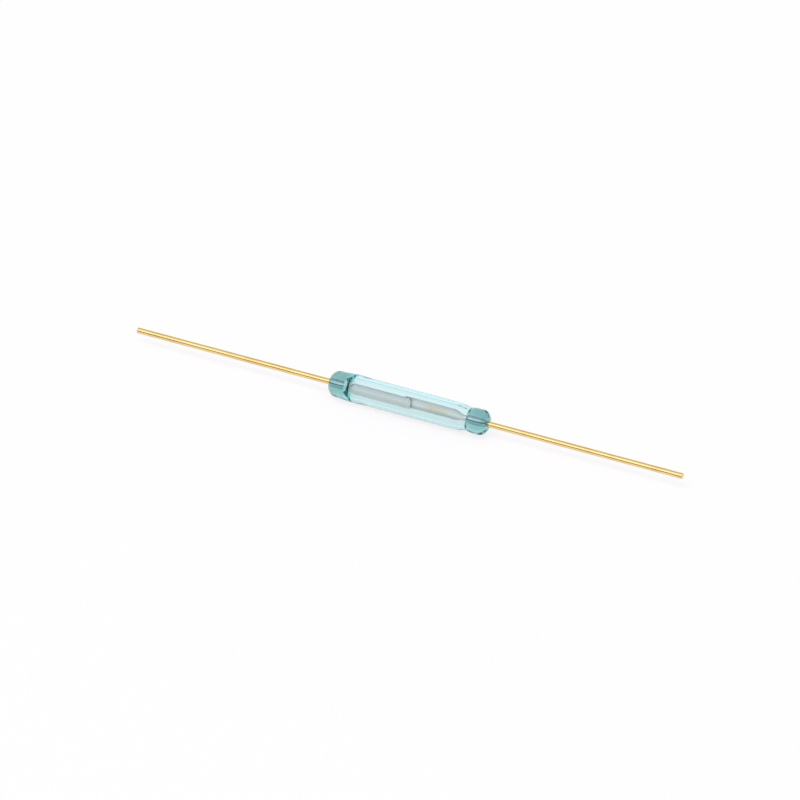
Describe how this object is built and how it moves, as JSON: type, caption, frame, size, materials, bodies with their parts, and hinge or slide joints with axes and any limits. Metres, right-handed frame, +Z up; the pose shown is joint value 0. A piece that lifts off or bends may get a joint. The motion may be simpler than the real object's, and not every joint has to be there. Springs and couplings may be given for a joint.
{
  "type": "glass reed switch",
  "caption": "Magnetic reed switch: a slim tinted glass capsule sealed round two flat overlapping reeds, with straight gold-plated wire leads.",
  "frame": {"origin": "middle of the glass capsule, on the axis of the leads", "axes": "+X along the leads from left to right, +Y across the flat blades from the left blade to the right one, +Z up"},
  "size_m": [0.0484, 0.0024, 0.0024],
  "materials": {
    "tinted_glass": "clear, tinted pale blue-green",
    "gold_plated_wire": "bright gold plating over nickel-iron wire",
    "nickel_iron": "stamped, satin"
  },
  "bodies": {
    "capsule": {"glass_capsule": "tinted_glass", "left_lead": "gold_plated_wire", "right_lead": "gold_plated_wire"},
    "left_reed": {"left_blade": "nickel_iron"},
    "right_reed": {"right_blade": "nickel_iron"}
  },
  "joints": [
    {"name": "left_reed_flex", "type": "hinge", "parent": "capsule", "child": "left_reed", "pos_m": [-0.00465, -0.00013, 0], "axis": [0, 0, 1], "range_deg": [0, 0.33], "stiffness_Nm_per_rad": 0.0002},
    {"name": "right_reed_flex", "type": "hinge", "parent": "capsule", "child": "right_reed", "pos_m": [0.0038, 0.00013, 0], "axis": [0, 0, 1], "range_deg": [0, 0.33], "stiffness_Nm_per_rad": 0.0002}
  ],
  "couplings": [
    {"joint": "right_reed_flex", "follows": "left_reed_flex", "ratio": 1}
  ]
}
